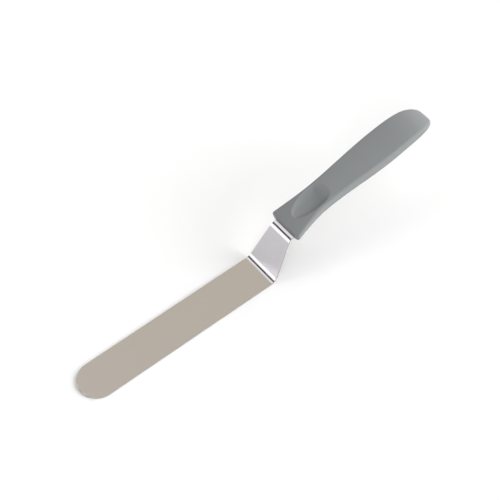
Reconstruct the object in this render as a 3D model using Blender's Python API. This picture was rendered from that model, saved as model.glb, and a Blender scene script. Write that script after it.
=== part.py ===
"""Offset icing spatula: a steel strip bent twice, and a plastic handle moulded round its tang.

The blade lies flat on Z = 0 with its round tip towards -X. The strip climbs a tapered neck and
runs on as a tang inside the handle, whose butt points to +X. Y = 0 is the plane of symmetry, and
the origin is under the middle of the overall length. Sizes are in metres, angles in degrees.
"""
import math

import bmesh
import bpy
from mathutils import Matrix, Vector

# Steel strip
STRIP_THICKNESS = 0.0010
BLADE_WIDTH = 0.0254
BLADE_LENGTH = 0.1385          # round tip to the heel corner, where the neck and its taper start
NECK_RISE = 0.0267             # height of the shoulder corner, where the tang starts
NECK_ANGLE = 60.9              # slope of the neck
HEEL_BEND_RADIUS = 0.0050      # inside radius of the lower bend
SHOULDER_BEND_RADIUS = 0.0042  # inside radius of the upper bend
EDGE_BREAK = 0.00015           # the stamped edges are tumbled smooth by this much

# Tang
TANG_ANGLE = 13.0              # slope of the tang and of the handle's axis
TANG_WIDTH = 0.0174            # at the shoulder and in the mouth of the handle
TANG_TAIL_WIDTH = 0.0110
TANG_LENGTH = 0.0560           # shoulder corner to the tang's end
TANG_BROAD_LENGTH = 0.0120     # stretch at the full tang width, from the shoulder corner
TANG_TAPER_LENGTH = 0.0060     # stretch over which it narrows to its tail
TANG_HOLE_RADIUS = 0.0023
TANG_HOLE_PITCH = 0.0130
TANG_HOLE_COUNT = 3
TANG_HOLE_END = 0.0070         # last hole's middle to the tang's end

# Handle, measured along the tang's slope and square to it, from the front face
HANDLE_GAP = 0.0036            # bare tang between the shoulder corner and the front face
HANDLE_LENGTH = 0.1166
FIT_CLEARANCE = 0.0003         # between the steel and the plastic round it
FRONT_WIDTH = 0.0255
WAIST_WIDTH = 0.0184
WAIST_AT = 0.0284
PALM_WIDTH = 0.0226
PALM_AT = 0.0817
BUTT_WIDTH = 0.0199
BUTT_ROUNDING = 0.0246         # length over which the butt rounds off, seen from above
BUTT_SQUARENESS = 3.6          # exponent of that rounding, where 2 is an ellipse
FRONT_CORNER_RADIUS = 0.0016
FRONT_EDGE_RADIUS = 0.0008

# Heights of the handle's top above the tang's middle, and depths of its belly below it
FRONT_TOP = 0.0044
ARCH_TOP = 0.0076
ARCH_AT = 0.0267
KNEE_TOP = 0.0059
KNEE_AT = 0.0894                # where the top starts to fall to the butt
BUTT_TOP = 0.0003
FRONT_BELLY = 0.0035
WAIST_BELLY = 0.0040
PALM_BELLY = 0.0080
BUTT_BELLY = 0.0075
NOSE_DROP = 0.0048             # the butt's foremost point is this far below the tang's middle
NOSE_ROUNDING = 0.0140         # length over which the butt rounds off, seen from the side
NOSE_SQUARENESS = 2.1

# Handle's section across its axis
TOP_EDGE_RADIUS = 0.0014
TOP_CROWN = 0.0004             # the top's middle stands this much above its edges
BELLY_SQUARENESS = 3.0

# Thumb rest, hollowed in the handle's top
THUMB_FRONT = 0.0072           # front face to the dish's near end
THUMB_LENGTH = 0.0279
THUMB_WIDTH = 0.0145
THUMB_WIDEST_AT = 0.0236
THUMB_FRONT_SQUARENESS = 2.0   # exponents of the dish's outline, where 2 is an ellipse
THUMB_REAR_SQUARENESS = 3.6
THUMB_BOWL_SQUARENESS = 4.0    # exponent of the dish's section, where 2 is a parabola

# Middle line of the dish, as places and as heights above the tang's middle
THUMB_FLOOR_FROM = 0.0087
THUMB_FLOOR_START = 0.0050
THUMB_FLOOR_TO = 0.0232
THUMB_FLOOR = 0.0041
THUMB_HEEL_AT = 0.0275
THUMB_HEEL = 0.0046
THUMB_BROW_AT = 0.0314
THUMB_BROW = 0.0067
THUMB_SPREAD = 1.15            # the cutter's sides run on above the top, to this share of its width

# Smoothness
TIP_SEGMENTS = 32
BEND_SEGMENTS = 8
HOLE_SEGMENTS = 24
EDGE_SEGMENTS = 4
BELLY_SEGMENTS = 9
BODY_STATIONS = 24
FRONT_STATIONS = 7
BUTT_STATIONS = 20
THUMB_STATIONS = 24
THUMB_SEGMENTS = 16
SMOOTH_ANGLE = 35.0            # edges sharper than this stay crisp

# Colours as linear red, green and blue
STEEL_COLOUR = (0.60, 0.56, 0.50)
PLASTIC_COLOUR = (0.24, 0.26, 0.26)


def clear_scene():
    for obj in list(bpy.data.objects):
        bpy.data.objects.remove(obj, do_unlink=True)


def new_collection(name):
    collection = bpy.data.collections.new(name)
    bpy.context.scene.collection.children.link(collection)
    return collection


def new_material(name, colour, roughness, metallic):
    material = bpy.data.materials.new(name)
    material.use_nodes = True
    shader = material.node_tree.nodes["Principled BSDF"]
    shader.inputs["Base Color"].default_value = (*colour, 1.0)
    shader.inputs["Roughness"].default_value = roughness
    shader.inputs["Metallic"].default_value = metallic
    return material


def new_object(name, mesh, collection):
    obj = bpy.data.objects.new(name, mesh)
    collection.objects.link(obj)
    return obj


def shade(obj, material):
    obj.data.materials.clear()
    obj.data.materials.append(material)
    obj.data.shade_smooth()
    obj.data.set_sharp_from_angle(angle=math.radians(SMOOTH_ANGLE))


def arc(centre, radius, start, end, segments):
    """Points on a circle from one angle to another, both included."""
    angles = [start + (end - start) * step / segments for step in range(segments + 1)]
    return [(centre[0] + radius * math.cos(a), centre[1] + radius * math.sin(a)) for a in angles]


def mirrored(side):
    """The other side of a symmetric outline, walked back the other way."""
    return [(x, -y) for x, y in reversed(side)]


def flat_plate(name, outline, holes, thickness, edge_break=0.0):
    """Mesh of a plate centred on Z = 0, from a closed outline and round holes in it."""
    curve = bpy.data.curves.new(name, "CURVE")
    curve.dimensions = "2D"
    curve.fill_mode = "BOTH"
    curve.extrude = thickness / 2 - edge_break
    curve.bevel_depth = edge_break
    curve.bevel_resolution = 0
    curve.offset = -edge_break
    loops = [outline]
    for centre, radius in holes:
        loops.append(arc(centre, radius, 0.0, 2 * math.pi, HOLE_SEGMENTS)[:-1])
    for loop in loops:
        spline = curve.splines.new("POLY")
        spline.points.add(len(loop) - 1)
        for point, (x, y) in zip(spline.points, loop):
            point.co = (x, y, 0.0, 1.0)
        spline.use_cyclic_u = True
    drawn = new_object(name, curve, bpy.context.scene.collection)
    evaluated = drawn.evaluated_get(bpy.context.evaluated_depsgraph_get())
    mesh = bpy.data.meshes.new_from_object(evaluated)
    bpy.data.objects.remove(drawn, do_unlink=True)
    shape = bmesh.new()
    shape.from_mesh(mesh)
    bmesh.ops.remove_doubles(shape, verts=shape.verts, dist=1e-6)
    bmesh.ops.recalc_face_normals(shape, faces=shape.faces)
    shape.to_mesh(mesh)
    shape.free()
    return mesh


def strip_runs():
    """Straight runs and bends of the strip's middle line, tip first, as (length, turn in radians)."""
    rise = math.radians(NECK_ANGLE)
    fall = math.radians(NECK_ANGLE - TANG_ANGLE)
    heel_radius = HEEL_BEND_RADIUS + STRIP_THICKNESS / 2
    shoulder_radius = SHOULDER_BEND_RADIUS + STRIP_THICKNESS / 2
    heel_setback = heel_radius * math.tan(rise / 2)
    shoulder_setback = shoulder_radius * math.tan(fall / 2)
    neck_length = NECK_RISE / math.sin(rise)
    return [
        (BLADE_LENGTH - heel_setback, 0.0),
        (heel_radius * rise, rise),
        (neck_length - heel_setback - shoulder_setback, 0.0),
        (shoulder_radius * fall, -fall),
        (TANG_LENGTH - shoulder_setback, 0.0),
    ]


def bend_lines():
    """Distances from the tip at which the flat blank is creased, through both bends."""
    lines = []
    start = 0.0
    for length, turn in strip_runs():
        if turn:
            lines += [start + length * step / BEND_SEGMENTS for step in range(BEND_SEGMENTS + 1)]
        start += length
    return lines


def fold(distance, height):
    """Side view of a point of the blank: X from the heel corner, and Z above the table."""
    x = -BLADE_LENGTH
    z = STRIP_THICKNESS / 2
    slope = 0.0
    for length, turn in strip_runs():
        part = min(distance, length)
        if turn:
            radius = length / turn
            end_slope = slope + part / radius
            x += radius * (math.sin(end_slope) - math.sin(slope))
            z += radius * (math.cos(slope) - math.cos(end_slope))
            slope = end_slope
        else:
            x += part * math.cos(slope)
            z += part * math.sin(slope)
        distance -= part
    return x - height * math.sin(slope), z + height * math.cos(slope)


def shoulder_distance():
    """Developed distance from the tip to the middle of the upper bend."""
    runs = strip_runs()
    return sum(length for length, turn in runs[:3]) + runs[3][0] / 2


def tang_holes(radius):
    """Round holes in the tang of the flat blank, as (centre, radius)."""
    end = sum(length for length, turn in strip_runs())
    last = end - TANG_HOLE_END
    return [((last - TANG_HOLE_PITCH * index, 0.0), radius) for index in range(TANG_HOLE_COUNT)]


def tang_side(margin):
    """One edge of the tang on the blank, from the shoulder to its end."""
    shoulder = shoulder_distance()
    end = sum(length for length, turn in strip_runs())
    broad = TANG_WIDTH / 2 + margin
    tail = TANG_TAIL_WIDTH / 2 + margin
    narrow_from = shoulder + TANG_BROAD_LENGTH
    corner = tail / 2
    side = [
        (shoulder, broad),
        (narrow_from, broad),
        (narrow_from + TANG_TAPER_LENGTH, tail),
    ]
    centre = (end + margin - corner, tail - corner)
    return side + arc(centre, corner, math.pi / 2, 0.0, HOLE_SEGMENTS // 4)


def blank_outline():
    """Outline of the flat blank, with its tip at X = 0."""
    radius = BLADE_WIDTH / 2
    runs = strip_runs()
    heel = runs[0][0] + runs[1][0] / 2
    tip = arc((radius, 0.0), radius, math.pi, math.pi / 2, TIP_SEGMENTS // 2)
    side = tip[1:] + [(heel, radius)] + tang_side(0.0)
    return tip[:1] + side + mirrored(side)


def make_blade(collection):
    """The blank is stamped flat with broken edges, and folded along its bend lines."""
    holes = tang_holes(TANG_HOLE_RADIUS)
    mesh = flat_plate("blade", blank_outline(), holes, STRIP_THICKNESS, EDGE_BREAK)
    shape = bmesh.new()
    shape.from_mesh(mesh)
    for line in bend_lines():
        bmesh.ops.bisect_plane(
            shape,
            geom=shape.verts[:] + shape.edges[:] + shape.faces[:],
            dist=1e-7,
            plane_co=(line, 0.0, 0.0),
            plane_no=(1.0, 0.0, 0.0),
        )
    for vert in shape.verts:
        vert.co.x, vert.co.z = fold(vert.co.x, vert.co.z)
    bmesh.ops.triangulate(shape, faces=shape.faces)
    shape.to_mesh(mesh)
    shape.free()
    return new_object("blade", mesh, collection)


def handle_frame():
    """Axes of the handle: its origin is at the front face on the tang's middle, X is along the tang."""
    slope = math.radians(TANG_ANGLE)
    shoulder_x = NECK_RISE / math.tan(math.radians(NECK_ANGLE))
    shoulder_z = STRIP_THICKNESS / 2 + NECK_RISE
    front = Vector((
        shoulder_x + HANDLE_GAP * math.cos(slope),
        0.0,
        shoulder_z + HANDLE_GAP * math.sin(slope),
    ))
    return Matrix.Translation(front) @ Matrix.Rotation(-slope, 4, "Y")


def through(stops, place):
    """Smooth curve through (place, size) stops, level where it turns and unbent at both ends."""
    secants = [(b[1] - a[1]) / (b[0] - a[0]) for a, b in zip(stops, stops[1:])]
    inner = []
    for before, after in zip(secants, secants[1:]):
        inner.append(2 * before * after / (before + after) if before * after > 0.0 else 0.0)
    first = (3 * secants[0] - inner[0]) / 2
    last = (3 * secants[-1] - inner[-1]) / 2
    slopes = [first] + inner + [last]
    index = max(i for i in range(len(secants)) if i == 0 or place >= stops[i][0])
    (start, size), (end, next_size) = stops[index], stops[index + 1]
    span = end - start
    t = (place - start) / span
    rise = t * t * (3.0 - 2.0 * t)
    bend_in = t * (1.0 - t) ** 2 * span * slopes[index]
    bend_out = t * t * (t - 1.0) * span * slopes[index + 1]
    return size + (next_size - size) * rise + bend_in + bend_out


def corner_inset(distance, radius):
    """How far a rounded corner stands back from its side, at a distance from its end face."""
    reach = max(0.0, radius - distance)
    return radius - math.sqrt(radius ** 2 - reach ** 2)


def nose_share(distance, length, squareness):
    """Share of the full size left at a distance from an end that rounds off over a length."""
    into = max(0.0, 1.0 - distance / length)
    return max(0.0, 1.0 - into ** squareness) ** (1.0 / squareness)


def handle_half_width(place):
    stops = [
        (0.0, FRONT_WIDTH / 2),
        (WAIST_AT, WAIST_WIDTH / 2),
        (PALM_AT, PALM_WIDTH / 2),
        (HANDLE_LENGTH, BUTT_WIDTH / 2),
    ]
    width = through(stops, place) - corner_inset(place, FRONT_CORNER_RADIUS)
    return width * nose_share(HANDLE_LENGTH - place, BUTT_ROUNDING, BUTT_SQUARENESS)


def handle_heights(place):
    """Top and bottom of the handle's section at a place along it, from the tang's middle."""
    top_stops = [(0.0, FRONT_TOP), (ARCH_AT, ARCH_TOP), (KNEE_AT, KNEE_TOP), (HANDLE_LENGTH, BUTT_TOP)]
    belly_stops = [
        (0.0, -FRONT_BELLY),
        (WAIST_AT, -WAIST_BELLY),
        (PALM_AT, -PALM_BELLY),
        (HANDLE_LENGTH, -BUTT_BELLY),
    ]
    inset = corner_inset(place, FRONT_EDGE_RADIUS)
    top = through(top_stops, place) - inset
    bottom = through(belly_stops, place) + inset
    share = nose_share(HANDLE_LENGTH - place, NOSE_ROUNDING, NOSE_SQUARENESS)
    return -NOSE_DROP + (top + NOSE_DROP) * share, -NOSE_DROP + (bottom + NOSE_DROP) * share


def handle_section(place):
    """Closed outline of the handle across its axis, as (Y, height), from the top's middle round."""
    half_width = handle_half_width(place)
    top, bottom = handle_heights(place)
    radius = min(TOP_EDGE_RADIUS, half_width / 3, (top - bottom) / 3)
    crown = TOP_CROWN * half_width / (PALM_WIDTH / 2)
    shoulder = half_width - radius
    half = [(0.0, top), (shoulder / 2, top - crown / 4)]
    half += arc((shoulder, top - crown - radius), radius, math.pi / 2, 0.0, EDGE_SEGMENTS)
    rim = top - crown - radius
    power = 2.0 / BELLY_SQUARENESS
    for step in range(1, BELLY_SEGMENTS):
        turn = math.pi / 2 * step / BELLY_SEGMENTS
        across = half_width * math.cos(turn) ** power
        half.append((across, rim - (rim - bottom) * math.sin(turn) ** power))
    half.append((0.0, bottom))
    return half + [(-y, z) for y, z in reversed(half[1:-1])]


def handle_stations():
    """Places along the handle at which it gets a section, closer together where it rounds off."""
    front = [
        FRONT_CORNER_RADIUS * (1.0 - math.cos(math.pi / 2 * step / FRONT_STATIONS))
        for step in range(FRONT_STATIONS)
    ]
    body_end = HANDLE_LENGTH - BUTT_ROUNDING
    body_length = body_end - FRONT_CORNER_RADIUS
    body = [FRONT_CORNER_RADIUS + body_length * step / BODY_STATIONS for step in range(BODY_STATIONS)]
    butt = [
        body_end + BUTT_ROUNDING * math.sin(math.pi / 2 * step / BUTT_STATIONS)
        for step in range(BUTT_STATIONS)
    ]
    return front + body + butt


def thumb_stations():
    """Places along the handle at which the thumb rest gets a section, closer together at its ends."""
    half = THUMB_LENGTH / 2
    turns = [math.pi * (step + 0.25) / (THUMB_STATIONS - 0.5) for step in range(THUMB_STATIONS)]
    return [THUMB_FRONT + half - half * math.cos(turn) for turn in turns]


def thumb_floor(place):
    """Height of the dish's middle line: a short front wall, a floor that falls a little and a long climb."""
    end = THUMB_FRONT + THUMB_LENGTH
    return through([
        (THUMB_FRONT, handle_heights(THUMB_FRONT)[0]),
        (THUMB_FLOOR_FROM, THUMB_FLOOR_START),
        (THUMB_FLOOR_TO, THUMB_FLOOR),
        (THUMB_HEEL_AT, THUMB_HEEL),
        (THUMB_BROW_AT, THUMB_BROW),
        (end, handle_heights(end)[0]),
    ], place)


def thumb_half_width(place):
    """Half the dish's width, widest between two rounded ends."""
    if place < THUMB_WIDEST_AT:
        share = nose_share(place - THUMB_FRONT, THUMB_WIDEST_AT - THUMB_FRONT, THUMB_FRONT_SQUARENESS)
    else:
        end = THUMB_FRONT + THUMB_LENGTH
        share = nose_share(end - place, end - THUMB_WIDEST_AT, THUMB_REAR_SQUARENESS)
    return THUMB_WIDTH / 2 * share


def thumb_section(place):
    """Closed outline of the body that hollows the dish: a bowl, and a lid clear above the top."""
    top = handle_heights(place)[0]
    floor = thumb_floor(place)
    half_width = thumb_half_width(place)
    bowl = []
    for step in range(THUMB_SEGMENTS + 1):
        share = THUMB_SPREAD * (2.0 * step / THUMB_SEGMENTS - 1.0)
        height = floor + (top - floor) * abs(share) ** THUMB_BOWL_SQUARENESS
        bowl.append((half_width * share, height))
    side = half_width * THUMB_SPREAD
    lid = top + THUMB_FLOOR
    return bowl + [(side, lid), (-side, lid)]


def loft(name, stations, section, collection):
    """Solid through sections across the handle's axis, closed by a flat face at each end."""
    shape = bmesh.new()
    rings = []
    for place in stations:
        ring = [shape.verts.new((place, y, z)) for y, z in section(place)]
        rings.append(ring)
    count = len(rings[0])
    for ring, following in zip(rings, rings[1:]):
        for index in range(count):
            after = (index + 1) % count
            shape.faces.new((ring[index], ring[after], following[after], following[index]))
    shape.faces.new(rings[0])
    shape.faces.new(rings[-1])
    bmesh.ops.recalc_face_normals(shape, faces=shape.faces)
    mesh = bpy.data.meshes.new(name)
    shape.to_mesh(mesh)
    shape.free()
    return new_object(name, mesh, collection)


def hide_cutter(obj):
    obj.hide_render = True
    obj.display_type = "WIRE"


def make_slot_cutter(collection):
    """The tang grown by the clearance, with round posts left standing in its holes."""
    shoulder = shoulder_distance()
    side = tang_side(FIT_CLEARANCE)
    posts = tang_holes(TANG_HOLE_RADIUS - FIT_CLEARANCE)
    mesh = flat_plate("tang_slot", side + mirrored(side), posts, STRIP_THICKNESS + 2 * FIT_CLEARANCE)
    cutter = new_object("tang_slot", mesh, collection)
    shoulder_radius = SHOULDER_BEND_RADIUS + STRIP_THICKNESS / 2
    half_fall = math.radians(NECK_ANGLE - TANG_ANGLE) / 2
    bend_excess = shoulder_radius * (math.tan(half_fall) - half_fall)
    cutter.location.x = -shoulder + bend_excess - HANDLE_GAP
    hide_cutter(cutter)
    return cutter


def make_thumb_cutter(collection):
    cutter = loft("thumb_dish", thumb_stations(), thumb_section, collection)
    hide_cutter(cutter)
    return cutter


def cut(obj, cutter):
    modifier = obj.modifiers.new(cutter.name, "BOOLEAN")
    modifier.operation = "DIFFERENCE"
    modifier.solver = "EXACT"
    modifier.object = cutter


def make_handle(collection, cutters):
    """The handle's body, less the tang's slot and the thumb rest, on axes along the tang."""
    handle = loft("handle", handle_stations(), handle_section, collection)
    slot = make_slot_cutter(cutters)
    dish = make_thumb_cutter(cutters)
    cut(handle, slot)
    cut(handle, dish)
    axes = bpy.data.objects.new("handle_axes", None)
    collection.objects.link(axes)
    axes.matrix_world = handle_frame()
    for obj in (handle, slot, dish):
        obj.parent = axes
    return handle, axes


def middle_of_length():
    """X of the middle between the tip and the butt, from the heel corner."""
    butt = (handle_frame() @ Vector((HANDLE_LENGTH, 0.0, -NOSE_DROP))).x
    return (butt - BLADE_LENGTH) / 2


def main():
    clear_scene()
    parts = new_collection("icing_spatula")
    cutters = new_collection("cutters")
    steel = new_material("satin_steel", STEEL_COLOUR, roughness=0.35, metallic=1.0)
    plastic = new_material("grey_plastic", PLASTIC_COLOUR, roughness=0.55, metallic=0.0)
    blade = make_blade(parts)
    handle, handle_axes = make_handle(parts, cutters)
    shade(blade, steel)
    shade(handle, plastic)
    origin = bpy.data.objects.new("heel_corner", None)
    parts.objects.link(origin)
    origin.location.x = -middle_of_length()
    for obj in (blade, handle_axes):
        obj.parent = origin


main()
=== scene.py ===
"""Offset icing spatula: a satin steel strip bent twice, in a matte grey moulded handle with a thumb rest."""
import math

import bmesh
import bpy
import numpy
from bpy.props import FloatProperty, FloatVectorProperty, PointerProperty
from mathutils import Matrix, Vector


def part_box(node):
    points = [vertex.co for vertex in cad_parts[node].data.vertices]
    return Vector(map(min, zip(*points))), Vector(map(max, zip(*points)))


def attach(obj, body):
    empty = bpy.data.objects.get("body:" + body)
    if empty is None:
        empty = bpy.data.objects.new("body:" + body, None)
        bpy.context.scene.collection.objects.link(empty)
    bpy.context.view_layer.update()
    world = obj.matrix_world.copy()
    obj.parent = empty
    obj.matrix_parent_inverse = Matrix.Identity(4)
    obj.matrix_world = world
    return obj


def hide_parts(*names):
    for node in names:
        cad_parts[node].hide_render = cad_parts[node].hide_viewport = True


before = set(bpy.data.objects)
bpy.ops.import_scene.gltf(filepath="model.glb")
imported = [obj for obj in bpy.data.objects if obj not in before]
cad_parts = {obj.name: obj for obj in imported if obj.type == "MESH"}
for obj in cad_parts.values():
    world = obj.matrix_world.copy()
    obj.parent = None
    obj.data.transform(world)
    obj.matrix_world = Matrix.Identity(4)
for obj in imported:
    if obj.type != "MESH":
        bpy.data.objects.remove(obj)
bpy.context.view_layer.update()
blade_low, blade_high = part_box("blade")

bl_info = {
    "name": "Icing Spatula",
    "version": (1, 0, 0),
    "blender": (4, 5, 0),
    "location": "3D View > Sidebar > Icing Spatula",
    "description": "Builds an offset icing spatula and a plain studio stage for it",
    "category": "Object",
}


def linear(code):
    """A hex colour, as painters write it, in the linear light that shaders use."""
    shares = [int(code[index:index + 2], 16) / 255 for index in (1, 3, 5)]
    return [c / 12.92 if c <= 0.04045 else ((c + 0.055) / 1.055) ** 2.4 for c in shares]


def size(name, default, description):
    return FloatProperty(
        name=name, description=description, default=default, min=0.0, unit="LENGTH", precision=4
    )


def slope(name, degrees, description):
    return FloatProperty(
        name=name, description=description, default=math.radians(degrees), subtype="ANGLE"
    )


def colour(name, code, description):
    return FloatVectorProperty(
        name=name, description=description, default=linear(code), size=3, min=0.0, max=1.0,
        subtype="COLOR",
    )


class StripSettings(bpy.types.PropertyGroup):
    """The steel strip, from the round tip to the end of the tang."""

    thickness: size("Thickness", 0.0010, "Gauge of the strip")
    width: size("Blade Width", blade_high.y - blade_low.y, "Width of the blade")
    blade_length: size("Blade Length", 0.1385, "Round tip to the corner where the neck starts")
    neck_rise: size("Neck Rise", 0.0267, "Height of the neck's upper corner above the lower one")
    neck_angle: slope("Neck Angle", 60.9, "Slope of the neck")
    heel_radius: size("Heel Bend", 0.0050, "Inside radius of the lower bend")
    shoulder_radius: size("Shoulder Bend", 0.0042, "Inside radius of the upper bend")
    edge_radius: size("Edge Radius", 0.00022, "Rounding of the tumbled edges")
    tang_angle: slope("Tang Angle", 13.0, "Slope of the tang and the handle")
    tang_width: size("Tang Width", 0.0174, "Width of the tang where it enters the handle")
    tail_width: size("Tail Width", 0.0110, "Width of the tang's far end")
    tang_length: size("Tang Length", 0.0560, "Upper corner to the end of the tang")
    hole_radius: size("Hole Radius", 0.0023, "Punched holes in the tang")
    # the face colour is steel grey with a faint lilac tint; the tint is a painted reflection of the lilac
    # surroundings that the neck and tang mirror
    face: colour("Face", "#BBB8BC", "Rolled face of the strip")
    edge: colour("Edge", "#C4C1BE", "Sheared edge of the strip")


class HandleSettings(bpy.types.PropertyGroup):
    """The moulded handle, measured along the tang from its front face."""

    gap: size("Bare Tang", 0.0036, "Tang that shows between the neck and the handle")
    length: size("Length", 0.1166, "Front face to butt")
    front_width: size("Front Width", 0.0255, "Width of the flared front")
    waist_width: size("Waist Width", 0.0184, "Width beside the thumb rest")
    palm_width: size("Palm Width", 0.0226, "Width at the palm")
    butt_width: size("Butt Width", 0.0199, "Width that the sides run to at the butt")
    dish_start: size("Thumb Rest Start", 0.0072, "Front face to the thumb rest")
    dish_length: size("Thumb Rest Length", 0.0279, "Length of the thumb rest")
    dish_width: size("Thumb Rest Width", 0.0145, "Width of the thumb rest")
    dish_floor: size("Thumb Rest Floor", 0.0041, "Height of the thumb rest's deepest point above the tang")
    body: colour("Plastic", "#7D8081", "Moulded body of the handle")


class StageSettings(bpy.types.PropertyGroup):
    """Floor, light and camera."""

    floor: colour("Floor", "#E8E8E8", "Plain sweep under the object")
    azimuth: slope("Camera Azimuth", -39.0935, "Angle round the object")
    elevation: slope("Camera Elevation", 54.4305, "Angle above the floor")
    distance: size("Camera Distance", 0.85, "Lens to the aim point")
    lens: FloatProperty(name="Lens", description="Focal length in mm", default=96.75, min=1.0)


# tang, measured from the upper corner of the strip's middle line
TANG_BROAD = 0.0120
TANG_TAPER = 0.0060
HOLE_COUNT = 3
HOLE_PITCH = 0.0130
HOLE_END = 0.0070
SLOT_CLEARANCE = 0.00005   # moulded plastic shrinks onto the steel

# handle: places along the tang from the front face, heights above the tang's middle
WAIST_AT = 0.0284
ARCH_AT = 0.0267
PALM_AT = 0.0817
KNEE_AT = 0.0894           # where the top starts to fall to the butt
FRONT_TOP = 0.0044
ARCH_TOP = 0.0076
KNEE_TOP = 0.0059
BUTT_TOP = 0.0003
FRONT_LOW = -0.0035
WAIST_LOW = -0.0040
PALM_LOW = -0.0080
BUTT_LOW = -0.0075
BUTT_TIP = -0.0048
BUTT_ROUND = 0.0246       # length over which the butt's sides round off
BUTT_FALL = 0.0140        # length over which its top and bottom do
BUTT_SQUARENESS = 3.6     # 2 is an ellipse, more is squarer
NOSE_SQUARENESS = 2.1     # the same for the butt's top and bottom
FRONT_CORNER = 0.0016
FRONT_BREAK = 0.0008
EDGE_ROUND = 0.0014       # between the top and the sides
CROWN = 0.0004            # rise of the top's middle over its edges, at the palm
BELLY_POWER = 2.0 / 3.0   # 1 is an ellipse, less is squarer

# thumb rest: lengths from its start, rises above its floor
DISH_WIDEST_AT = 0.0236   # from the front face
DISH_RAMP = 0.0015
DISH_RAMP_RISE = 0.0009
DISH_DEEPEST = 0.0160
DISH_HEEL = 0.0203
DISH_HEEL_RISE = 0.0005
DISH_BROW = 0.0242
DISH_BROW_RISE = 0.0026
DISH_SOFTNESS = 0.00045   # radius over which its rim is rounded
DISH_FRONT_SQUARENESS = 2.0
DISH_REAR_SQUARENESS = 3.6
DISH_BOWL_SQUARENESS = 4.0
DISH_SAMPLES = ((0.55, 6), (1.0, 12))   # rings of that disc: share of its radius, points

# how finely each stretch is divided, along the strip and then along and round the handle
TIP_STEPS, BLADE_STEPS, HEEL_STEPS, NECK_STEPS, SHOULDER_STEPS = 40, 40, 40, 16, 32
TANG_STEPS, TAIL_STEPS = 8, 10
BEND_POINTS = 64
HOLE_POINTS = 48
FRONT_STEPS, DISH_STEPS, PALM_STEPS, BUTT_STEPS = 12, 116, 60, 44
TOP_STEPS, RIM_STEPS, BELLY_STEPS = 28, 8, 26


def add_node(tree, kind, inputs=(), **settings):
    """Adds a node with its settings; each input, in order or by name, is a value or a socket to link."""
    node = tree.nodes.new(kind)
    for name, value in settings.items():
        setattr(node, name, value)
    for key, value in inputs.items() if isinstance(inputs, dict) else enumerate(inputs):
        if isinstance(value, bpy.types.NodeSocket):
            tree.links.new(value, node.inputs[key])
        else:
            node.inputs[key].default_value = value
    return node


def new_tree(name, sockets):
    """A geometry tree with an input for each label, of the type given with it."""
    tree = bpy.data.node_groups.new(name, "GeometryNodeTree")
    tree.interface.new_socket("Geometry", in_out="INPUT", socket_type="NodeSocketGeometry")
    for label, kind in sockets.items():
        tree.interface.new_socket(label, in_out="INPUT", socket_type="NodeSocket" + kind)
    tree.interface.new_socket("Geometry", in_out="OUTPUT", socket_type="NodeSocketGeometry")
    return tree


def grow(obj, tree, values):
    """Runs a geometry tree on an object, with its inputs given by their labels."""
    modifier = obj.modifiers.new(tree.name, "NODES")
    modifier.node_group = tree
    for item in tree.interface.items_tree:
        if item.in_out == "INPUT" and item.name in values:
            modifier[item.identifier] = values[item.name]


def new_object(name, data):
    obj = bpy.data.objects.new(name, data)
    bpy.context.scene.collection.objects.link(obj)
    return obj


def filled_mesh(name, shape):
    """A mesh with the faces of a shape, which is then let go."""
    mesh = bpy.data.meshes.new(name)
    shape.to_mesh(mesh)
    shape.free()
    return mesh


def new_material(name):
    """A material, with its nodes and the shader that it starts with."""
    material = bpy.data.materials.new(name)
    material.use_nodes = True
    return material, material.node_tree, material.node_tree.nodes["Principled BSDF"]


def opaque(tone, share=1.0):
    """A colour as a shader takes it, made a little darker or lighter."""
    return (*[c * share for c in tone], 1.0)


def settled(obj):
    """Turns the object's modifiers into a plain mesh."""
    bpy.context.view_layer.update()
    evaluated = obj.evaluated_get(bpy.context.evaluated_depsgraph_get())
    mesh = bpy.data.meshes.new_from_object(evaluated)
    if not mesh.polygons:
        raise RuntimeError(f"{obj.name} came out empty")
    unfinished = obj.data
    obj.modifiers.clear()
    obj.data = mesh
    bpy.data.meshes.remove(unfinished)
    mesh.name = obj.name


def cut(piece, cutter):
    """Takes the cutter's shape out of a piece, and the cutter out of the scene."""
    knife = piece.modifiers.new("cut", "BOOLEAN")
    knife.operation = "DIFFERENCE"
    knife.solver = "EXACT"
    knife.material_mode = "TRANSFER"
    knife.object = cutter
    settled(piece)
    bpy.data.objects.remove(cutter)


def shaded(piece, crease):
    """Smooth shading that keeps flats flat and leaves the edges sharper than the crease crisp."""
    piece.data.shade_smooth()
    piece.data.set_sharp_from_angle(angle=math.radians(crease))
    weigh = piece.modifiers.new("even_normals", "WEIGHTED_NORMAL")
    weigh.keep_sharp = True
    settled(piece)


def bridge(shape, rows):
    """Quads between each row of points and the next."""
    for row, following in zip(rows, rows[1:]):
        for index in range(len(row) - 1):
            shape.faces.new((row[index], following[index], following[index + 1], row[index + 1]))


def spaced(start, end, count):
    """Even steps from start towards end, which is left out."""
    return [start + (end - start) * step / count for step in range(count)]


def inset_at(distance, radius):
    """How far a rounded corner stands back from its side, at a distance from its end face."""
    reach = max(0.0, radius - distance)
    return radius - math.sqrt(radius ** 2 - reach ** 2)


def nose_share(distance, length, squareness):
    """Share of the full size left at a distance from an end that rounds off over a length."""
    into = max(0.0, 1.0 - distance / length)
    return max(0.0, 1.0 - into ** squareness) ** (1.0 / squareness)


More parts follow.
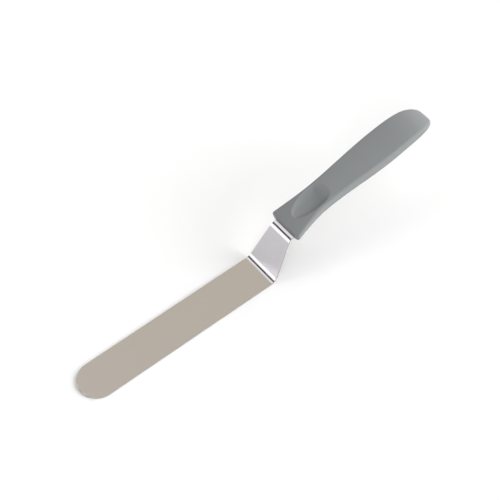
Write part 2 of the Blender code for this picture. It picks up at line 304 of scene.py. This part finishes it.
def through(stops, place):
    """Smooth curve through (place, size) stops, level where it turns and unbent at both ends."""
    secants = [(b[1] - a[1]) / (b[0] - a[0]) for a, b in zip(stops, stops[1:])]
    inner = []
    for before, after in zip(secants, secants[1:]):
        inner.append(2 * before * after / (before + after) if before * after > 0.0 else 0.0)
    slopes = [(3 * secants[0] - inner[0]) / 2] + inner + [(3 * secants[-1] - inner[-1]) / 2]
    index = max(i for i in range(len(secants)) if i == 0 or place >= stops[i][0])
    (start, low), (end, high) = stops[index], stops[index + 1]
    span = end - start
    t = (place - start) / span
    bend = t * (1.0 - t) ** 2 * slopes[index] + t * t * (t - 1.0) * slopes[index + 1]
    return low + (high - low) * t * t * (3.0 - 2.0 * t) + bend * span


def strip_marks(strip):
    """Distances along the strip's middle line: both bends' starts and ends, and the tang's zero."""
    heel = strip.heel_radius + strip.thickness / 2
    shoulder = strip.shoulder_radius + strip.thickness / 2
    fall = strip.neck_angle - strip.tang_angle
    heel_reach = heel * math.tan(strip.neck_angle / 2)
    shoulder_reach = shoulder * math.tan(fall / 2)
    heel_start = strip.blade_length - heel_reach
    heel_end = heel_start + heel * strip.neck_angle
    neck = strip.neck_rise / math.sin(strip.neck_angle) - heel_reach - shoulder_reach
    shoulder_start = heel_end + neck
    shoulder_end = shoulder_start + shoulder * fall
    return heel_start, heel_end, shoulder_start, shoulder_end, shoulder_end - shoulder_reach


def tail_corner(strip):
    """Radius of the round corners at the tang's far end."""
    return strip.tail_width / 4


def tang_half_width(strip, place):
    """Half width of the tang at a place along it: broad, then narrower, with round end corners."""
    stops = [TANG_BROAD, TANG_BROAD + TANG_TAPER]
    half = numpy.interp(place, stops, [strip.tang_width / 2, strip.tail_width / 2])
    return half - inset_at(strip.tang_length - place, tail_corner(strip))


def tang_places(strip, start):
    """Places along the tang at which its outline gets a point on each side."""
    corner = tail_corner(strip)
    level = strip.tang_length - corner
    stops = [start, TANG_BROAD, TANG_BROAD + TANG_TAPER, level]
    places = []
    for first, last in zip(stops, stops[1:]):
        places += spaced(first, last, TANG_STEPS)
    places += [level + corner * math.sin(turn) for turn in spaced(0.0, math.pi / 2, TAIL_STEPS)]
    return places + [strip.tang_length]


def flat_blank(strip):
    """The strip's outline as it is blanked, flat, with X along its middle line from the round tip."""
    heel_start, heel_end, shoulder_start, shoulder_end, tang_zero = strip_marks(strip)
    half = strip.width / 2
    reaches = [half * (1.0 - math.cos(turn)) for turn in spaced(0.0, math.pi / 2, TIP_STEPS)[1:]]
    reaches += spaced(half, heel_start, BLADE_STEPS)
    reaches += spaced(heel_start, heel_end, HEEL_STEPS)
    reaches += spaced(heel_end, shoulder_start, NECK_STEPS)
    reaches += spaced(shoulder_start, shoulder_end, SHOULDER_STEPS)
    reaches += [tang_zero + place for place in tang_places(strip, shoulder_end - tang_zero)]
    neck = [(heel_start + heel_end) / 2, (shoulder_start + shoulder_end) / 2]
    shape = bmesh.new()
    rows = []
    for reach in reaches:
        side = numpy.interp(reach, neck, [half, strip.tang_width / 2]) - inset_at(reach, half)
        side += tang_half_width(strip, reach - tang_zero) - strip.tang_width / 2
        rows.append([shape.verts.new((reach, side * share, 0.0)) for share in (-1, -0.5, 0, 0.5, 1)])
    tip = shape.verts.new()
    for near, far in zip(rows[0], rows[0][1:]):
        shape.faces.new((tip, near, far))
    bridge(shape, rows)
    return filled_mesh("blank", shape)


def fold_tree():
    """Lays a flat blank along a path of three straights joined by two round bends."""
    tree = new_tree("fold_along_path", {
        "Tip": "Vector", "Heel": "Vector", "Shoulder": "Vector", "Tang End": "Vector",
        "Heel Radius": "Float", "Shoulder Radius": "Float", "Material": "Material",
    })
    given = add_node(tree, "NodeGroupInput").outputs
    corners = add_node(
        tree, "GeometryNodeCurvePrimitiveQuadrilateral",
        {"Point 1": given["Tip"], "Point 2": given["Heel"], "Point 3": given["Shoulder"],
         "Point 4": given["Tang End"]},
        mode="POINTS",
    )
    path = add_node(tree, "GeometryNodeSetSplineCyclic", {"Geometry": corners.outputs[0], "Cyclic": False})
    corner = add_node(tree, "GeometryNodeInputIndex")
    radius = add_node(tree, "GeometryNodeIndexSwitch", {"Index": corner.outputs[0]}, data_type="FLOAT")
    radius.index_switch_items.new()
    tree.links.new(given["Heel Radius"], radius.inputs["1"])
    tree.links.new(given["Shoulder Radius"], radius.inputs["2"])
    bent = add_node(
        tree, "GeometryNodeFilletCurve",
        {"Curve": path.outputs[0], "Count": BEND_POINTS, "Radius": radius.outputs[0]}, mode="POLY",
    )
    flat = add_node(tree, "ShaderNodeSeparateXYZ", [add_node(tree, "GeometryNodeInputPosition").outputs[0]])
    along = add_node(
        tree, "GeometryNodeSampleCurve",
        {"Curves": bent.outputs[0], "Length": flat.outputs["X"]}, mode="LENGTH",
    )
    aside = add_node(tree, "ShaderNodeCombineXYZ", {"Y": flat.outputs["Y"]})
    folded = add_node(
        tree, "GeometryNodeSetPosition",
        {"Geometry": given["Geometry"], "Position": along.outputs["Position"], "Offset": aside.outputs[0]},
    )
    whole = add_node(tree, "GeometryNodeRealizeInstances", [folded.outputs[0]])
    dressed = add_node(
        tree, "GeometryNodeSetMaterial", {"Geometry": whole.outputs[0], "Material": given["Material"]}
    )
    add_node(tree, "NodeGroupOutput", [dressed.outputs[0]])
    return tree


def punch_tree():
    """A row of round punches, each leaning as the plate does that they go through."""
    tree = new_tree("row_of_punches", {
        "First": "Vector", "Pitch": "Vector", "Lean": "Vector", "Count": "Int",
        "Radius": "Float", "Depth": "Float", "Material": "Material",
    })
    given = add_node(tree, "NodeGroupInput").outputs
    row = add_node(
        tree, "GeometryNodeMeshLine",
        {"Count": given["Count"], "Start Location": given["First"], "Offset": given["Pitch"]},
    )
    punch = add_node(
        tree, "GeometryNodeMeshCylinder",
        {"Vertices": HOLE_POINTS, "Radius": given["Radius"], "Depth": given["Depth"]},
    )
    punches = add_node(
        tree, "GeometryNodeInstanceOnPoints",
        {"Points": row.outputs[0], "Instance": punch.outputs[0], "Rotation": given["Lean"]},
    )
    whole = add_node(tree, "GeometryNodeRealizeInstances", [punches.outputs[0]])
    dressed = add_node(
        tree, "GeometryNodeSetMaterial", {"Geometry": whole.outputs[0], "Material": given["Material"]}
    )
    add_node(tree, "NodeGroupOutput", [dressed.outputs[0]])
    return tree


def tang_frame(strip):
    """Axes of the tang: the origin is the upper corner of the strip's middle line, X runs along the tang."""
    corner = Vector((
        blade_low.x + strip.blade_length + strip.neck_rise / math.tan(strip.neck_angle),
        0.0,
        strip.thickness / 2 + strip.neck_rise,
    ))
    return Matrix.Translation(corner) @ Matrix.Rotation(-strip.tang_angle, 4, "Y")


def row_of_punches(strip, radius, wall):
    """Punches through the tang, whose walls leave a material in what they cut."""
    axes = tang_frame(strip)
    row = new_object("punches", bpy.data.meshes.new("punches"))
    grow(row, punch_tree(), {
        "First": tuple(axes @ Vector((strip.tang_length - HOLE_END, 0.0, 0.0))),
        "Pitch": tuple(axes.to_3x3() @ Vector((-HOLE_PITCH, 0.0, 0.0))),
        "Lean": tuple(axes.to_euler()),
        "Count": HOLE_COUNT,
        "Radius": radius,
        "Depth": 4 * strip.thickness,
        "Material": wall,
    })
    settled(row)
    return row


def satin_steel(strip):
    """Cold-rolled stainless strip, satin ground along its length: soft, faintly streaked reflections."""
    material, tree, shader = new_material("satin_stainless_strip")
    shader.inputs["Metallic"].default_value = 1.0
    place = add_node(tree, "ShaderNodeTexCoord").outputs["Object"]
    # grinding lines lie about 0.05 mm apart and run for 20 mm or so; drawn 0.5 mm apart so that they show
    streaks = add_node(tree, "ShaderNodeMapping", {"Vector": place, "Scale": (50.0, 2000.0, 50.0)})
    grain = add_node(
        tree, "ShaderNodeTexNoise",
        {"Vector": streaks.outputs[0], "Scale": 1.0, "Detail": 3.0, "Roughness": 0.6},
    )
    tone = add_node(
        tree, "ShaderNodeMix",
        {"Factor": grain.outputs["Fac"], "A": opaque(strip.face, 0.98), "B": opaque(strip.face, 1.02)},
        data_type="RGBA",
    )
    tree.links.new(tone.outputs["Result"], shader.inputs["Base Color"])
    rough = add_node(tree, "ShaderNodeMapRange", [grain.outputs["Fac"], 0.2, 0.8, 0.18, 0.23])
    tree.links.new(rough.outputs[0], shader.inputs["Roughness"])
    bump = add_node(
        tree, "ShaderNodeBump", {"Strength": 0.1, "Distance": 0.00001, "Height": grain.outputs["Fac"]}
    )
    tree.links.new(bump.outputs[0], shader.inputs["Normal"])
    return material


def sheared_edge(strip):
    """Blanked edge of the strip: a dull break with fine lines across it, tumbled smooth."""
    material, tree, shader = new_material("sheared_stainless_edge")
    shader.inputs["Metallic"].default_value = 1.0
    place = add_node(tree, "ShaderNodeTexCoord").outputs["Object"]
    # shear lines run through the gauge, about 0.3 mm apart
    lines = add_node(tree, "ShaderNodeMapping", {"Vector": place, "Scale": (3000.0, 3000.0, 300.0)})
    grain = add_node(
        tree, "ShaderNodeTexNoise", {"Vector": lines.outputs[0], "Scale": 1.0, "Detail": 3.0}
    )
    tone = add_node(
        tree, "ShaderNodeMix",
        {"Factor": grain.outputs["Fac"], "A": opaque(strip.edge, 0.85), "B": opaque(strip.edge, 1.15)},
        data_type="RGBA",
    )
    tree.links.new(tone.outputs["Result"], shader.inputs["Base Color"])
    rough = add_node(tree, "ShaderNodeMapRange", [grain.outputs["Fac"], 0.2, 0.8, 0.40, 0.55])
    tree.links.new(rough.outputs[0], shader.inputs["Roughness"])
    return material


def moulded_plastic(handle):
    """Polypropylene moulded in a spark-eroded tool: an even matte grey with a very fine grain."""
    material, tree, shader = new_material("matte_moulded_polypropylene")
    shader.inputs["IOR"].default_value = 1.49
    place = add_node(tree, "ShaderNodeTexCoord").outputs["Object"]
    # spark-eroded grain is about 0.15 mm across; drawn at 0.4 mm so that it shows
    grain = add_node(
        tree, "ShaderNodeTexNoise", {"Vector": place, "Scale": 2500.0, "Detail": 2.0, "Roughness": 0.5}
    )
    # pigment drifts a little along the flow, over about 15 mm
    flow = add_node(
        tree, "ShaderNodeTexNoise", {"Vector": place, "Scale": 65.0, "Detail": 2.0, "Roughness": 0.5}
    )
    cloud = add_node(
        tree, "ShaderNodeMix",
        {"Factor": flow.outputs["Fac"], "A": opaque(handle.body, 0.98), "B": opaque(handle.body, 1.02)},
        data_type="RGBA",
    )
    fleck = add_node(tree, "ShaderNodeMapRange", [grain.outputs["Fac"], 0.2, 0.8, 0.97, 1.03])
    tone = add_node(
        tree, "ShaderNodeVectorMath", [cloud.outputs["Result"], fleck.outputs[0]], operation="MULTIPLY"
    )
    tree.links.new(tone.outputs[0], shader.inputs["Base Color"])
    rough = add_node(tree, "ShaderNodeMapRange", [grain.outputs["Fac"], 0.2, 0.8, 0.46, 0.58])
    tree.links.new(rough.outputs[0], shader.inputs["Roughness"])
    bump = add_node(
        tree, "ShaderNodeBump", {"Strength": 0.25, "Distance": 0.00003, "Height": grain.outputs["Fac"]}
    )
    tree.links.new(bump.outputs[0], shader.inputs["Normal"])
    return material


class BuildStrip(bpy.types.Operator):
    """Blank the steel strip, fold it into blade, neck and tang, tumble its edges and punch the tang"""

    bl_idname = "icing_spatula.build_strip"
    bl_label = "Build Steel Strip"

    def execute(self, context):
        strip = context.scene.spatula_strip
        axes = tang_frame(strip)
        steel = satin_steel(strip)
        edge = sheared_edge(strip)
        piece = new_object("steel_strip", flat_blank(strip))
        piece.data.materials.append(steel)
        piece.data.materials.append(edge)
        level = strip.thickness / 2
        grow(piece, fold_tree(), {
            "Tip": (blade_low.x, 0.0, level),
            "Heel": (blade_low.x + strip.blade_length, 0.0, level),
            "Shoulder": tuple(axes.translation),
            "Tang End": tuple(axes @ Vector((strip.tang_length, 0.0, 0.0))),
            "Heel Radius": strip.heel_radius + level,
            "Shoulder Radius": strip.shoulder_radius + level,
            "Material": steel,
        })
        wall = piece.modifiers.new("gauge", "SOLIDIFY")
        wall.thickness = strip.thickness
        wall.offset = 0.0
        wall.use_even_offset = True
        wall.material_offset_rim = 1
        soft = piece.modifiers.new("tumbled_edge", "BEVEL")
        soft.width = strip.edge_radius
        soft.segments = 3
        soft.limit_method = "ANGLE"
        soft.angle_limit = math.radians(60)
        settled(piece)
        cut(piece, row_of_punches(strip, strip.hole_radius, edge))
        shaded(piece, crease=60)
        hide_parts("blade")
        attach(piece, "root")
        return {"FINISHED"}


def handle_size(handle, place):
    """Half width, top and bottom of the handle's section at a place along it."""
    length = handle.length
    half = through([
        (0.0, handle.front_width / 2),
        (WAIST_AT, handle.waist_width / 2),
        (PALM_AT, handle.palm_width / 2),
        (length, handle.butt_width / 2),
    ], place) - inset_at(place, FRONT_CORNER)
    half *= nose_share(length - place, BUTT_ROUND, BUTT_SQUARENESS)
    edge = inset_at(place, FRONT_BREAK)
    top = through([(0.0, FRONT_TOP), (ARCH_AT, ARCH_TOP), (KNEE_AT, KNEE_TOP), (length, BUTT_TOP)], place)
    low = through([(0.0, FRONT_LOW), (WAIST_AT, WAIST_LOW), (PALM_AT, PALM_LOW), (length, BUTT_LOW)], place)
    share = nose_share(length - place, BUTT_FALL, NOSE_SQUARENESS)
    return half, BUTT_TIP + (top - edge - BUTT_TIP) * share, BUTT_TIP + (low + edge - BUTT_TIP) * share


def top_fall(handle, half, across):
    """How far the crowned top has fallen from its middle at a point across it."""
    flat = half - min(EDGE_ROUND, half / 3)
    return CROWN * half / (handle.palm_width / 2) * (across / flat) ** 2


def crisp_sink(handle, place, across):
    """Depth of the thumb rest at a point of the handle's top, with a crisp rim."""
    start = handle.dish_start
    end = start + handle.dish_length
    if not start < place < end:
        return 0.0
    floor = through([
        (start, handle_size(handle, start)[1]),
        (start + DISH_RAMP, handle.dish_floor + DISH_RAMP_RISE),
        (start + DISH_DEEPEST, handle.dish_floor),
        (start + DISH_HEEL, handle.dish_floor + DISH_HEEL_RISE),
        (start + DISH_BROW, handle.dish_floor + DISH_BROW_RISE),
        (end, handle_size(handle, end)[1]),
    ], place)
    if place < DISH_WIDEST_AT:
        share = nose_share(place - start, DISH_WIDEST_AT - start, DISH_FRONT_SQUARENESS)
    else:
        share = nose_share(end - place, end - DISH_WIDEST_AT, DISH_REAR_SQUARENESS)
    half, top, _ = handle_size(handle, place)
    aside = abs(across) / (handle.dish_width / 2 * share + 1e-9)
    bowl = (top - floor) * (1.0 - min(aside, 2.0) ** DISH_BOWL_SQUARENESS)
    return max(0.0, bowl - top_fall(handle, half, across))


def dish_sink(handle, place, across):
    """Depth of the thumb rest, averaged over a small disc so that its rim is rounded."""
    start = handle.dish_start - DISH_SOFTNESS
    if not start < place < start + handle.dish_length + 2 * DISH_SOFTNESS:
        return 0.0
    total = crisp_sink(handle, place, across)
    for share, count in DISH_SAMPLES:
        reach = DISH_SOFTNESS * share
        for turn in spaced(0.0, 2 * math.pi, count):
            total += crisp_sink(
                handle, place + reach * math.cos(turn), across + reach * math.sin(turn)
            )
    return total / (1 + sum(count for _, count in DISH_SAMPLES))


def handle_ring(handle, place):
    """Closed outline of the handle across its axis, as (Y, height), from the top's middle round."""
    half, top, low = handle_size(handle, place)
    radius = min(EDGE_ROUND, half / 3, (top - low) / 3)
    flat = half - radius
    ring = []
    for across in spaced(0.0, flat, TOP_STEPS):
        ring.append((across, top - top_fall(handle, half, across) - dish_sink(handle, place, across)))
    rim = top - top_fall(handle, half, flat) - radius
    for turn in spaced(math.pi / 2, 0.0, RIM_STEPS):
        ring.append((flat + radius * math.cos(turn), rim + radius * math.sin(turn)))
    for turn in spaced(0.0, math.pi / 2, BELLY_STEPS):
        across = half * math.cos(turn) ** BELLY_POWER
        ring.append((across, rim - (rim - low) * math.sin(turn) ** BELLY_POWER))
    ring.append((0.0, low))
    return ring + [(-y, z) for y, z in reversed(ring[1:-1])]


def handle_places(handle):
    """Places along the handle at which it gets a section, closest where it curves most."""
    dish_end = handle.dish_start + handle.dish_length + 2 * DISH_SOFTNESS
    butt = handle.length - BUTT_ROUND
    places = [FRONT_CORNER * (1.0 - math.cos(turn)) for turn in spaced(0.0, math.pi / 2, FRONT_STEPS)]
    places += spaced(FRONT_CORNER, dish_end, DISH_STEPS)
    places += spaced(dish_end, butt, PALM_STEPS)
    places += [butt + BUTT_ROUND * math.sin(turn) for turn in spaced(0.0, math.pi / 2, BUTT_STEPS)]
    return places


def tang_slot(strip, gap, wall):
    """The tang's shape grown by the moulding clearance, with pins of plastic left in its holes."""
    shape = bmesh.new()
    places = tang_places(strip, gap - FRONT_BREAK)
    sides = [(place, tang_half_width(strip, place) + SLOT_CLEARANCE) for place in places]
    sides.append((strip.tang_length + SLOT_CLEARANCE, tail_corner(strip)))
    bridge(shape, [[shape.verts.new((place, side * half, 0.0)) for side in (-1, 1)] for place, half in sides])
    mesh = filled_mesh("tang_slot", shape)
    mesh.transform(tang_frame(strip))
    mesh.materials.append(wall)
    slot = new_object("tang_slot", mesh)
    grown = slot.modifiers.new("gauge", "SOLIDIFY")
    grown.thickness = strip.thickness + 2 * SLOT_CLEARANCE
    grown.offset = 0.0
    settled(slot)
    cut(slot, row_of_punches(strip, strip.hole_radius - SLOT_CLEARANCE, wall))
    return slot


class BuildHandle(bpy.types.Operator):
    """Mould the handle round the tang, with its thumb rest"""

    bl_idname = "icing_spatula.build_handle"
    bl_label = "Build Handle"

    def execute(self, context):
        strip = context.scene.spatula_strip
        handle = context.scene.spatula_handle
        plastic = moulded_plastic(handle)
        shape = bmesh.new()
        rings = []
        for place in handle_places(handle):
            ring = [shape.verts.new((place, y, z)) for y, z in handle_ring(handle, place)]
            rings.append(ring + ring[:1])
        bridge(shape, rings)
        shape.faces.new(rings[0][:-1])
        shape.faces.new(rings[-1][:-1])
        bmesh.ops.recalc_face_normals(shape, faces=shape.faces)
        mesh = filled_mesh("handle_grip", shape)
        mesh.transform(tang_frame(strip) @ Matrix.Translation((handle.gap, 0.0, 0.0)))
        mesh.materials.append(plastic)
        piece = new_object("handle_grip", mesh)
        cut(piece, tang_slot(strip, handle.gap, plastic))
        shaded(piece, crease=50)
        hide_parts("handle")
        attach(piece, "root")
        return {"FINISHED"}


def sweep_floor(stage):
    """Plain pale paper, which takes the object's shadow."""
    material, tree, _ = new_material("white_paper_sweep")
    tree.nodes.clear()
    paper = add_node(tree, "ShaderNodeBsdfDiffuse", {"Color": opaque(stage.floor)})
    add_node(tree, "ShaderNodeOutputMaterial", {"Surface": paper.outputs[0]})
    return material


ARC_TONES = (              # light over the object, from the right through overhead to the left
    (0.00, (0.950, 0.885, 0.718)),
    (0.455, (0.950, 0.885, 0.718)),
    (0.48, (1.70, 1.67, 1.68)),
    (0.595, (1.70, 1.67, 1.68)),
    (0.62, (0.02, 0.02, 0.02)),
    (0.745, (0.02, 0.02, 0.02)),
    (0.77, (2.40, 2.40, 2.40)),
    (1.00, (2.40, 2.40, 2.40)),
)

ROOM_TONES = (             # on the lens's side and behind: as they light the plastic, as steel mirrors them
    ((0.30, 0.30, 0.31), (0.86, 0.84, 0.81)),
    ((0.12, 0.12, 0.13), (0.60, 0.59, 0.57)),
)

LAMPS = (                  # name, strength, direction, spread in degrees
    ("side_light", 2.85, (0.60, -0.74, 0.31), 40),
    ("end_light", 2.05, (0.95, 0.00, 0.31), 40),
    ("left_light", 1.00, (-0.60, -0.50, 0.62), 40),
    ("top_light", 0.72, (0.50, 0.00, 0.87), 40),
)

# where the arc of tones starts and ends, as the Y of a direction: on the lens's side, then behind
NEAR_BORDER = (0.26, 0.34)
BACK_BORDER = (0.56, 0.64)

FLOOR_REACH = 4.0          # half the paper's width
FLOOR_GAP = 0.0001         # paper below the blade, so that the two faces don't fight
SENSOR_WIDTH = 36.0        # mm
VIEW_REACH = 20.0          # how far the camera sees

# point on which the camera is set, from the blade's tip, its middle and the table
AIM_FROM_TIP = 0.142054
AIM_ASIDE = 0.016355
AIM_HEIGHT = 0.000184


def studio_world():
    """Soft room light, with an arc of tones that the steel mirrors, and plain white for the lens."""
    world = bpy.data.worlds.new("studio")
    world.use_nodes = True
    tree = world.node_tree
    tree.nodes.clear()
    way = add_node(tree, "ShaderNodeSeparateXYZ", [add_node(tree, "ShaderNodeTexCoord").outputs["Generated"]])
    turn = add_node(tree, "ShaderNodeMath", [way.outputs["Z"], way.outputs["X"]], operation="ARCTAN2")
    share = add_node(tree, "ShaderNodeMath", [turn.outputs[0], math.pi], operation="DIVIDE")
    arc = add_node(tree, "ShaderNodeValToRGB", [share.outputs[0]])
    tones = arc.color_ramp.elements
    tones.remove(tones[1])
    tones[0].color = opaque(ARC_TONES[0][1])
    for position, tone in ARC_TONES[1:]:
        tones.new(position).color = opaque(tone)
    rays = add_node(tree, "ShaderNodeLightPath").outputs
    near, behind = (
        add_node(
            tree, "ShaderNodeMix",
            {"Factor": rays["Is Glossy Ray"], "A": opaque(dull), "B": opaque(mirrored)},
            data_type="RGBA",
        ).outputs["Result"]
        for dull, mirrored in ROOM_TONES
    )
    far = add_node(
        tree, "ShaderNodeMapRange", [way.outputs["Y"], *NEAR_BORDER, 0.0, 1.0],
        interpolation_type="SMOOTHSTEP",
    )
    room = add_node(
        tree, "ShaderNodeMix",
        {"Factor": far.outputs[0], "A": near, "B": arc.outputs["Color"]},
        data_type="RGBA",
    )
    back = add_node(
        tree, "ShaderNodeMapRange", [way.outputs["Y"], *BACK_BORDER, 0.0, 1.0],
        interpolation_type="SMOOTHSTEP",
    )
    whole = add_node(
        tree, "ShaderNodeMix",
        {"Factor": back.outputs[0], "A": room.outputs["Result"], "B": behind},
        data_type="RGBA",
    )
    lit = add_node(tree, "ShaderNodeBackground", {"Color": whole.outputs["Result"]})
    white = add_node(tree, "ShaderNodeBackground", {"Color": opaque((1.0, 1.0, 1.0))})
    both = add_node(
        tree, "ShaderNodeMixShader", [rays["Is Camera Ray"], lit.outputs[0], white.outputs[0]]
    )
    add_node(tree, "ShaderNodeOutputWorld", {"Surface": both.outputs[0]})
    return world


def add_sun(name, strength, way, spread):
    """A wide sun that shines from a direction and that the steel doesn't mirror."""
    lamp = bpy.data.lights.new(name, "SUN")
    lamp.energy = strength
    lamp.angle = math.radians(spread)
    piece = new_object(name, lamp)
    piece.location = way
    piece.rotation_euler = Vector(way).to_track_quat("Z", "Y").to_euler()
    piece.visible_glossy = False


class BuildStage(bpy.types.Operator):
    """Set the floor, the studio light and the camera"""

    bl_idname = "icing_spatula.build_stage"
    bl_label = "Build Stage"

    def execute(self, context):
        stage = context.scene.spatula_stage
        shape = bmesh.new()
        bmesh.ops.create_grid(shape, x_segments=1, y_segments=1, size=FLOOR_REACH)
        bmesh.ops.translate(shape, vec=(0.0, 0.0, -FLOOR_GAP), verts=shape.verts)
        floor = new_object("sweep", filled_mesh("sweep", shape))
        floor.data.materials.append(sweep_floor(stage))
        context.scene.world = studio_world()
        for lamp in LAMPS:
            add_sun(*lamp)
        turn, rise = stage.azimuth, stage.elevation
        back = Vector((math.sin(turn) * math.cos(rise), -math.cos(turn) * math.cos(rise), math.sin(rise)))
        right = Vector((math.cos(turn), math.sin(turn), 0.0))
        up = back.cross(right)
        aim = Vector((blade_low.x + AIM_FROM_TIP, AIM_ASIDE, AIM_HEIGHT))
        lens = bpy.data.cameras.new("view")
        lens.lens = stage.lens
        lens.sensor_width = SENSOR_WIDTH
        lens.clip_end = VIEW_REACH
        view = new_object("view", lens)
        turned = Matrix((right, up, back)).transposed().to_4x4()
        view.matrix_world = Matrix.Translation(aim + back * stage.distance) @ turned
        context.scene.camera = view
        context.scene.view_settings.view_transform = "Standard"
        return {"FINISHED"}


class SpatulaPanel(bpy.types.Panel):
    """Sizes, colours and steps of the icing spatula"""

    bl_idname = "VIEW3D_PT_icing_spatula"
    bl_label = "Icing Spatula"
    bl_space_type = "VIEW_3D"
    bl_region_type = "UI"
    bl_category = "Icing Spatula"

    def draw(self, context):
        scene = context.scene
        groups = (
            (scene.spatula_strip, BuildStrip),
            (scene.spatula_handle, BuildHandle),
            (scene.spatula_stage, BuildStage),
        )
        for group, step in groups:
            box = self.layout.box()
            for name in group.bl_rna.properties.keys():
                if name not in {"rna_type", "name"}:
                    box.prop(group, name)
            box.operator(step.bl_idname)


CLASSES = (
    StripSettings, HandleSettings, StageSettings, BuildStrip, BuildHandle, BuildStage, SpatulaPanel
)


def register():
    for cls in CLASSES:
        bpy.utils.register_class(cls)
    bpy.types.Scene.spatula_strip = PointerProperty(type=StripSettings)
    bpy.types.Scene.spatula_handle = PointerProperty(type=HandleSettings)
    bpy.types.Scene.spatula_stage = PointerProperty(type=StageSettings)


def unregister():
    del bpy.types.Scene.spatula_stage
    del bpy.types.Scene.spatula_handle
    del bpy.types.Scene.spatula_strip
    for cls in reversed(CLASSES):
        bpy.utils.unregister_class(cls)


def main():
    register()
    bpy.ops.icing_spatula.build_strip()
    bpy.ops.icing_spatula.build_handle()
    bpy.ops.icing_spatula.build_stage()


if __name__ == "__main__":
    main()
